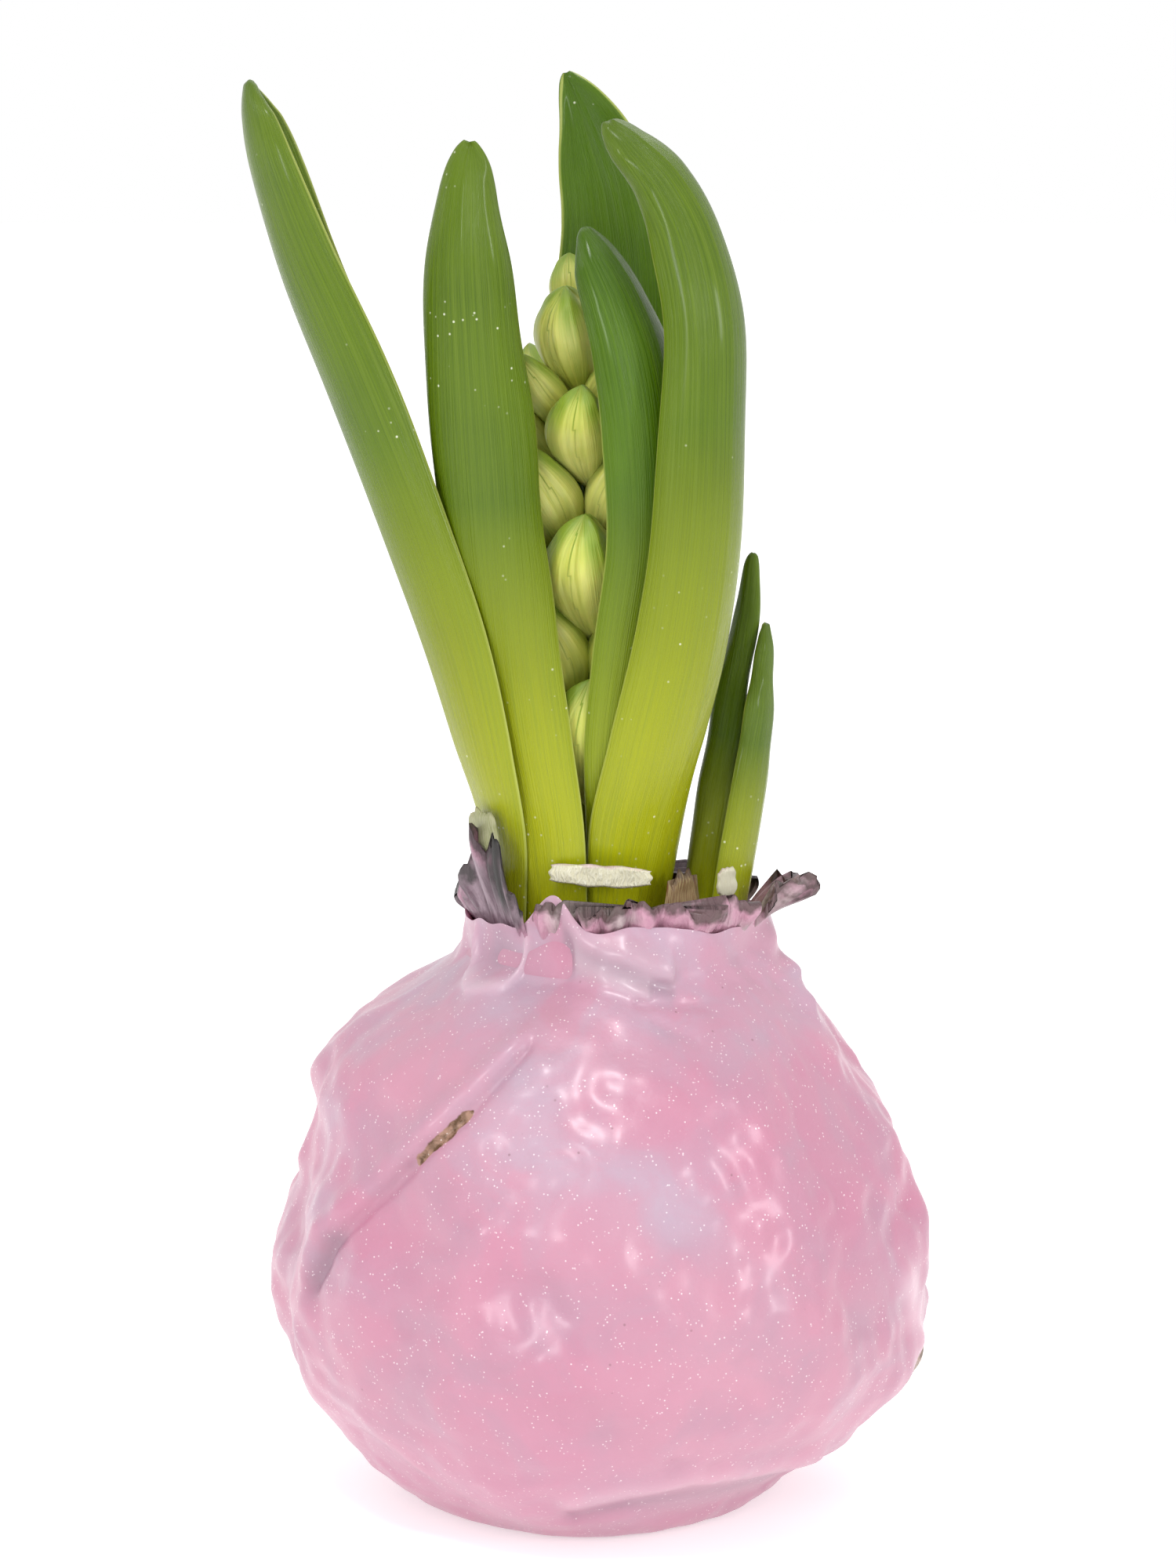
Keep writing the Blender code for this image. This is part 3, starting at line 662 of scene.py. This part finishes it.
# %% Make the leaves
BIG_LEAF = (0.48, 190, 49)  # half thickness in millimetres, rows, columns
SMALL_LEAF = (0.35, 90, 25)
FIRST_LEAF_SEED = 20
for order, (name, stations) in enumerate(LEAVES.items()):
    sizes = SMALL_LEAF if name.startswith("offset") else BIG_LEAF
    # the back and inner leaves wear the darker copy, which is painted shade
    material = SHADED_LEAF if name in ("leaf_back", "leaf_inner_right") else MID_LEAF
    make_leaf(name, stations, *sizes, material, FIRST_LEAF_SEED + order)

# %% [markdown]
# ## The flower stalk
# The stalk hides between the buds. It is a tapering tube: circles carried along its leaning middle.
# It wears the leaves' own finish, because it is the same flesh.

# %% The stalk
STALK = (
    (-2, 0.5, 61.35, 3.7), (-2, 0.5, 74, 2.9), (-2, 0.5, 95, 2.4),
    (-2.5, 0.3, 111, 1.8), (-2.9, 0.1, 119, 0.9), (-3.3, 0, 127.5, 0.8),
)
STALK_ROWS = 60
STALK_COLUMNS = 32


def make_stalk(material):
    """middle + radius (cos turn, sin turn), with eight faint ribs."""
    line = smooth_line(STALK, np.linspace(0, 1, STALK_ROWS))[:, None]
    turn = np.linspace(0, math.tau, STALK_COLUMNS, endpoint=False)[None, :]
    radius = line[..., 3] * (1 + 0.03 * np.cos(8 * turn))
    x = line[..., 0] + radius * np.cos(turn)
    y = line[..., 1] + radius * np.sin(turn)
    rings = fit_box(np.stack([x, y, line[..., 2] + 0 * turn], -1) * MM, "flower_stalk")
    along = np.repeat(np.linspace(0, 1, STALK_ROWS)[:, None], STALK_COLUMNS, 1)
    layers = {"across": np.sin(turn) * 0.6 + 0 * along, "along": along, "side": 0 * along}
    closed_skin("stalk", rings, layers, material, "flower_stalk")


make_stalk(MID_LEAF)

# %% [markdown]
# ## Buds
# A closed hyacinth bud has three outer tepals wrapped over three inner ones. Only narrow strips of
# the inner three show. So one skin is enough: an egg whose radius steps in at each outer tepal's
# margin, with a rib down each middle and three hooded tips. Green ribs and tips fade to pale faces.

# %% The bud finish


def bud_finish():
    """Pale faces with a green rib down each tepal, greener tips and painted shade in the seams."""
    bud = Finish(
        "bud_green", Coat_Weight=0.1, Coat_Roughness=0.3, Subsurface_Weight=0.12, Subsurface_Scale=0.003
    )
    across = bud.layer("across")
    along = bud.layer("along")
    veins = bud.noise(1.0, 2, bud.joined(across * 16, along * 2.0, 1.0))
    blotch = bud.noise(140, 3).between(0.35, 0.7)
    colour = bud.mix(blotch, tint(192, 196, 84), tint(212, 210, 122))
    rib = (across * across).between(0.62, 0.04)
    green = (rib * 0.6 + along.between(0.6, 0.98) * 0.8 + (veins - 0.5) * 0.6).between(0.35, 1.05)
    colour = bud.mix(green * 0.8, colour, tint(108, 142, 8))
    colour = bud.mix(along.between(0.88, 1.0) * 0.5, colour, tint(88, 118, 6))
    # painted shade: darker green in the grooves between tepals, stronger towards the foot
    colour = bud.mix(bud.layer("seam_shade") * 0.3, colour, tint(120, 140, 20))
    dust = bud.cells(800).between(0.10, 0.04) * bud.noise(80, 2).between(0.54, 0.64)
    colour = bud.mix(dust * 0.6, colour, tint(240, 240, 215))
    roughness = 0.40 + veins * 0.1
    height = veins * 0.8 + bud.noise(600, 3) * 0.3
    return bud.wear(colour, roughness, height, distance=0.0003, strength=0.45)


BUD = bud_finish()
print("made the finish", BUD.name)

# %% Bud skins: height of tips, first facing, length, radius, reach, count
WHORLS = (
    (92.5, 267, 16.5, 3.4, 8.4, 4), (101.5, 226, 16.5, 3.4, 8.5, 4), (110.5, 265, 16.5, 3.3, 8.6, 4),
    (118, 226, 15, 3, 8.4, 4), (124.5, 268, 13.5, 2.7, 8.2, 4), (128, 220.5, 12, 2, 7.8, 4),
    (134, 253, 13.5, 2.7, 5.3, 2),
)
TOP_BUD = ((-3.3, 0.1, 128), (-4.0, 0.2, 137), 1.9, 245, 5)  # foot, tip, radius, facing, seed
BUD_SEAT_MM = 0.5  # between a bud's foot and the stalk
BUD_FOOT_SHARE = 0.96  # of a bud's length, how far its foot sits below its tip
BUD_ROWS = 44
BUD_COLUMNS = 72
BUD_LEAN = 1.27  # above 1, a bud is widest past its middle
BUD_BLUNTNESS = 0.72  # below 1, its ends are blunter than a sine wave's
BUD_GROWTH = 1.36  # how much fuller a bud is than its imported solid, so that neighbours touch


def bud_rings(foot, tip, radius, facing, seed):
    """radius sin(pi up^1.27)^0.72 with steps at the tepals' margins, carried from foot to tip."""
    up = np.linspace(0.004, 0.996, BUD_ROWS)[:, None]
    turn = np.linspace(0, math.tau, BUD_COLUMNS, endpoint=False)[None, :]
    twisted = turn - math.radians(facing) + 0.35 * (up - 0.5) + 0.1 * math.sin(seed)
    tepal = (twisted / (math.tau / 3) + 0.5) % 1.0 * 2 - 1
    cover = ease(0.86, 0.74, np.abs(tepal)) + 0 * up
    rib = hump(tepal, 0, 0.12)
    groove = hump(np.abs(tepal), 0.80, 0.05)
    lobes = 1 - 0.10 * (1 - cover) + 0.05 * rib * ease(0.2, 0.6, up) - 0.06 * groove
    tip_lobes = 1 + 0.34 * ease(0.80, 1.0, up) * np.cos(3 * twisted)
    fullness = np.sin(math.pi * up**BUD_LEAN) ** BUD_BLUNTNESS
    reach = radius * fullness * lobes * tip_lobes
    axis = np.subtract(tip, foot)
    length = np.linalg.norm(axis)
    axis = axis / length
    side = unit(np.cross(axis, (0.0, 0.0, 1.0)) + np.array((1e-6, 0, 0)))
    other = np.cross(axis, side)
    bend = 0.05 * length * np.sin(math.pi * up) * math.sin(seed * 2.3)
    rings = np.array(foot) + axis * (length * up)[..., None]
    rings = rings + side * (reach * np.cos(turn) + bend)[..., None]
    rings = rings + other * (reach * np.sin(turn))[..., None]
    # this layer marks the grooves between tepals, where shade is painted
    return rings, {"across": tepal, "along": up + 0 * turn, "seam_shade": groove * (1 - 0.5 * up)}


def stalk_at(height):
    """The stalk's middle (x, y) and its radius at a height, straight between its stations."""
    x, y, heights, radius = np.array(STALK, float).T
    middle = np.array([np.interp(height, heights, x), np.interp(height, heights, y)])
    return middle, np.interp(height, heights, radius)


def finish_bud(node, rings, layers):
    """Fits a bud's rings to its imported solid's box, grown sideways round its middle."""
    fitted = fit_box(rings * MM, node)
    middle = fitted.reshape(-1, 3).mean(0)
    full = middle + (fitted - middle) * np.array([BUD_GROWTH, BUD_GROWTH, 1.0])
    closed_skin(f"{node}_tepals", full, layers, BUD, node)


def make_buds():
    """Whorl above whorl of buds round the stalk, then the one on top."""
    number = 0
    for tip_z, first, length, radius, reach, count in WHORLS:
        foot_z = tip_z - length * BUD_FOOT_SHARE
        (foot_x, foot_y), stalk_radius = stalk_at(foot_z)
        (tip_x, tip_y), _ = stalk_at(tip_z)
        for step in range(count):
            facing = math.radians(first + step * 360 / count)
            way = np.array([math.cos(facing), math.sin(facing)])
            foot = (*(np.array([foot_x, foot_y]) + way * (stalk_radius + BUD_SEAT_MM)), foot_z)
            tip = (*(np.array([tip_x, tip_y]) + way * reach), tip_z)
            number += 1
            node = f"bud_{number:02d}"
            rings, layers = bud_rings(foot, tip, radius, math.degrees(facing), number)
            finish_bud(node, rings, layers)
    rings, layers = bud_rings(*TOP_BUD)
    finish_bud(f"bud_{number + 1:02d}", rings, layers)


make_buds()

# %% [markdown]
# ## Torn tunic and flakes
# The bulb's papery skin stands up round the neck in torn sheets, soaked with wax. Each is a thin
# two-sided sheet between two facings; its top edge is torn by unevenness, and its wrinkles run up.

# %% Papery finishes


def tunic_finish(name, base, streak, edge_colour, waxed):
    """Streaks up a papery sheet, pink where wax took, darker along its torn top."""
    tunic = Finish(name, Coat_Weight=0.25, Coat_Roughness=0.25)
    rise = tunic.layer("rise")
    upwards = tunic.joined(tunic.layer("along") * 26, rise * 3, 1.0)
    streaks = tunic.noise(1.0, 4, upwards).between(0.38, 0.66)
    colour = tunic.mix(streaks, base, streak)
    pink = (tunic.noise(120, 3) + waxed).between(0.5, 0.62)
    colour = tunic.mix(pink * 0.75, colour, tint(192, 136, 160))
    torn = (rise + (tunic.noise(500, 4) - 0.5) * 0.6).between(0.80, 0.95)
    colour = tunic.mix(torn * 0.85, colour, edge_colour)
    colour = tunic.mix(tunic.layer("burnt"), colour, tint(20, 16, 12))
    roughness = 0.42 + streaks * 0.15
    height = streaks * 0.6 + tunic.noise(500, 4)
    return tunic.wear(colour, roughness, height, distance=0.0005, strength=0.6)


LILAC_TUNIC = tunic_finish("tunic_lilac", tint(104, 84, 94), tint(164, 144, 154), tint(26, 20, 16), 0.03)
PALE_TUNIC = tunic_finish("tunic_pale", tint(142, 120, 126), tint(188, 172, 172), tint(56, 38, 28), 0.08)
BROWN_SCALE = tunic_finish("tunic_scale", tint(120, 74, 40), tint(196, 176, 128), tint(60, 36, 20), -0.3)
FLAKE = tunic_finish("wax_flake", tint(208, 202, 172), tint(222, 218, 196), tint(196, 168, 172), -0.2)
FILM = tunic_finish("wax_film", tint(140, 144, 92), tint(176, 174, 140), tint(164, 160, 120), -0.2)

# %% The sheets round the neck: from facing, to facing, tops, how far the top leans out, finish
TUNIC_RADIUS_MM = 14.95
TUNIC_ROWS = 46
TUNIC_COLUMNS_PER_DEGREE = 1.6
FLARE_MM = 2.6  # how far the torn tops lie out over the wax rim
SPIKE_MM = 6.5  # the burnt-looking point at the left stands this much taller
BURNT_SHARE = 0.82  # of the way along the left sheet, where that point is
TUNIC_SHEETS = {
    "tunic_left": (172, 234, (67.5, 68.6, 70.4, 74.6, 70.2, 68.6), 0.4, LILAC_TUNIC),
    "tunic_front": (236.5, 331, (68.2, 69.4, 68.6, 70, 69, 68.2, 69.2, 68), 0.3, PALE_TUNIC),
    "tunic_right": (333.5, 383, (68.4, 70.6, 70, 68.2, 69.4, 67.6), 4.6, PALE_TUNIC),
    "tunic_back": (25.5, 169.5, (67.2, 68.4, 67.4, 69, 68, 69.4, 68.2, 67.4), 0.6, LILAC_TUNIC),
}


def make_tunic_sheet(name, start, end, tops, lean, material, seed):
    """radius + lean rise^5 sin(pi share) round the neck, wrinkled, up to a torn top."""
    columns = int((end - start) * TUNIC_COLUMNS_PER_DEGREE)
    share = (margin_to_margin(columns)[None, :] + 1) / 2
    rise = np.linspace(0, 1, TUNIC_ROWS)[:, None]
    torn = unevenness(share.T * 60, 9, seed) * 0.35 + unevenness(share.T * 60, 3, seed + 1) * 0.3
    top = smooth_line([(value,) for value in tops], share[0])[:, 0] + torn
    facing = np.radians(start + (end - start) * share) + 0 * rise
    places = np.stack([share * 40 + 0 * rise, rise * 3 + 0 * share], -1)
    wrinkles = 0.55 * unevenness(places, 5, seed + 2)
    flare = FLARE_MM * ease(0.25, 1, rise)
    radius = TUNIC_RADIUS_MM + lean * rise**5 * np.sin(math.pi * share) + wrinkles * (0.05 + rise)
    foot_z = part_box(name)[0].z / MM
    x = NECK_CENTRE_X_MM + radius * np.cos(facing)
    sheet = np.stack([x, radius * np.sin(facing), foot_z + (top - foot_z) * rise], -1)
    across = share * 2 - 1 + 0 * rise
    thickness = 0.3 * np.sqrt(1 - np.abs(across) ** 8) * ease(-0.05, 0.12, 1 - rise)
    burnt = hump(share, BURNT_SHARE, 0.13) * ease(0.5, 0.72, rise) * (name == "tunic_left")
    along = share * (end - start) / 60 + 0 * rise
    layers = {"rise": rise + 0 * share, "along": along, "burnt": burnt}
    layers = {layer: both_sides(values) for layer, values in layers.items()}
    rings = fit_box(two_sided(sheet, thickness) * MM, name)
    outwards = np.stack([np.cos(facing), np.sin(facing), 0 * facing], -1)
    rings += both_sides(flare + 0 * share)[..., None] * MM * both_sides(outwards)
    if name == "tunic_left":
        spike = hump(share, BURNT_SHARE, 0.10) * rise**3 + 0.4 * hump(share, 0.6, 0.05) * rise**3
        rings[..., 2] += SPIKE_MM * MM * both_sides(spike)
    closed_skin(f"{name}_sheet", rings, layers, material, name)


FIRST_TUNIC_SEED = 50
for order, (name, sheet) in enumerate(TUNIC_SHEETS.items()):
    make_tunic_sheet(name, *sheet, FIRST_TUNIC_SEED + 4 * order)

# %% Flakes and a scrap of brown scale: centre, width, height, facing, tilt, finish, slot
CHIP_ROWS = 24
CHIP_COLUMNS = 31
CHIPS = {
    "wax_chip_front": ((-0.6, -11.9, 71.5), 11.0, 2.6, 268, -3.0, FLAKE, "wax_flake"),
    "wax_chip_small": ((13.1, -7.4, 70.0), 2.6, 3.4, 312, 0.0, FLAKE, "wax_flake"),
    "wax_chip_left": ((-13.3, -8.2, 75.4), 4.4, 6.0, 214, 12.0, FILM, "wax_flake"),
    "tunic_scrap": ((8.6, -7.8, 66.5), 4.8, 10.2, 318, 0.0, BROWN_SCALE, "bulb_skin"),
}


def make_chip(name, centre, width, height, facing, tilt, material, slot, seed):
    """A flat flake across a facing, with a bitten outline, bent back 0.06 of its width at its ends."""
    way = np.array([math.cos(math.radians(facing)), math.sin(math.radians(facing)), 0])
    side = np.cross((0, 0, 1), way)
    lean = math.radians(tilt)
    across = margin_to_margin(CHIP_COLUMNS)[None, :]
    up = np.linspace(-1, 1, CHIP_ROWS)[:, None]
    bitten = 1 - 0.3 * across**2 + 0.06 * unevenness(across.T * 3, 1.8, seed)[None, :]
    tall = up * bitten * height / 2
    wide = across * width / 2 * (1 + 0.03 * unevenness(up * 2, 2.5, seed + 1)[:, None])
    wave = 0.08 * unevenness(np.stack([wide + 0 * up, tall], -1), 3, seed + 2)
    flat_x = wide * math.cos(lean) - tall * math.sin(lean)
    flat_z = wide * math.sin(lean) + tall * math.cos(lean)
    out = wave - 0.06 * width * across**2
    sheet = np.array(centre) + side * flat_x[..., None] + way * out[..., None]
    sheet = sheet + np.array((0, 0, 1)) * flat_z[..., None]
    thickness = 0.3 * np.sqrt(1 - across**8) * ease(-0.02, 0.2, 1 - np.abs(up))
    rise = (up + 1) / 2 * 0.9 + 0 * across
    layers = {"rise": both_sides(rise), "along": both_sides(across + 0 * up)}
    rings = fit_box(two_sided(sheet, thickness) * MM, name)
    closed_skin(f"{name}_flake", rings, layers, material, name)


FIRST_CHIP_SEED = 80
for order, (name, chip) in enumerate(CHIPS.items()):
    make_chip(name, *chip, FIRST_CHIP_SEED + 5 * order)

# %% [markdown]
# ## The bulb inside
# Only the bulb's flat top comes near the open neck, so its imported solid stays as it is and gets
# the dry brown finish of bulb scales, mottled and streaked.

# %% Finish the bulb


def bulb_finish():
    """Dry brown scales, streaked upwards."""
    bulb = Finish("bulb_skin")
    streaks = bulb.noise(1.0, 4, bulb.stretched(500, 500, 90))
    colour = bulb.mix(streaks.between(0.35, 0.65), tint(120, 82, 52), tint(176, 140, 100))
    return bulb.wear(colour, 0.55 + streaks * 0.2, streaks, distance=0.0004)


bulb_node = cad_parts["bulb"]
bulb_node.data.materials.clear()
bulb_node.data.materials.append(bulb_finish())
print("finished", bulb_node.name)

# %% [markdown]
# ## Floor, light and camera
# The plant stands in plain soft light on a pale floor. Two tall soft boxes put gloss along the
# leaves, one higher box lights the wax from the front, and a white surround fills the shadows.

# %% Stage
low, high = cad_box
WHITE = (1.0, 1.0, 1.0, 1.0)
FLOOR_REACH = 3.0
FLOOR_GAP = 0.0002  # between the floor and the foot that stands on it


def plain_floor():
    """A wide white sheet just under the foot, which isn't part of the plant."""
    mesh = bpy.data.meshes.new("floor")
    corners = [(x * FLOOR_REACH, y * FLOOR_REACH, 0) for x, y in ((-1, -1), (1, -1), (1, 1), (-1, 1))]
    mesh.from_pydata(corners, [], [(0, 1, 2, 3)])
    floor = bpy.data.objects.new("floor", mesh)
    floor.location.z = low.z - FLOOR_GAP
    pale = Finish(
        "floor_pale", Roughness=0.9, Specular_IOR_Level=0.0, Emission_Color=WHITE, Emission_Strength=0.42
    )
    shade = pale.mix(pale.noise(3, 1), (0.80, 0.80, 0.80), (0.82, 0.82, 0.82))
    mesh.materials.append(pale.wear(shade))
    bpy.context.scene.collection.objects.link(floor)


def soft_box(name, place, aim, width, height, power):
    """A rectangular lamp at a place, turned to face its aim."""
    light = bpy.data.lights.new(name, "AREA")
    light.shape = "RECTANGLE"
    light.size = width
    light.size_y = height
    light.energy = power
    lamp = bpy.data.objects.new(name, light)
    lamp.location = place
    lamp.rotation_euler = (Vector(aim) - Vector(place)).to_track_quat("-Z", "Y").to_euler()
    bpy.context.scene.collection.objects.link(lamp)


plain_floor()
middle = (low + high) / 2
soft_box("left_box", (-0.40, -0.69, 0.30), middle, 0.05, 0.20, 1.2)
soft_box("right_box", (0.62, -0.45, 0.30), middle, 0.05, 0.20, 1.2)
soft_box("front_box", (-0.13, -0.42, 0.76), middle, 0.10, 0.10, 2.0)
soft_box("back_box", (0.2, 0.5, 0.6), middle, 0.3, 0.3, 0.8)

world = bpy.data.worlds.new("white_room")
world.use_nodes = True
world.node_tree.nodes["Background"].inputs["Color"].default_value = WHITE
world.node_tree.nodes["Background"].inputs["Strength"].default_value = 1.0
bpy.context.scene.world = world
bpy.context.scene.view_settings.view_transform = "Standard"

# %% Camera
LOOK_DOWN = math.radians(10.0)
DISTANCE = 0.475
aim = Vector((middle.x - 0.0011, 0.0, middle.z + 0.0014))
camera_data = bpy.data.cameras.new("camera")
camera_data.sensor_fit = "VERTICAL"
camera_data.sensor_height = 36
camera_data.lens = 100
camera = bpy.data.objects.new("camera", camera_data)
away = Vector((0.0, -math.cos(LOOK_DOWN), math.sin(LOOK_DOWN)))
camera.location = aim + away * DISTANCE
camera.rotation_euler = (-away).to_track_quat("-Z", "Y").to_euler()
bpy.context.scene.collection.objects.link(camera)
bpy.context.scene.camera = camera
print("aim", tuple(round(value, 4) for value in aim))
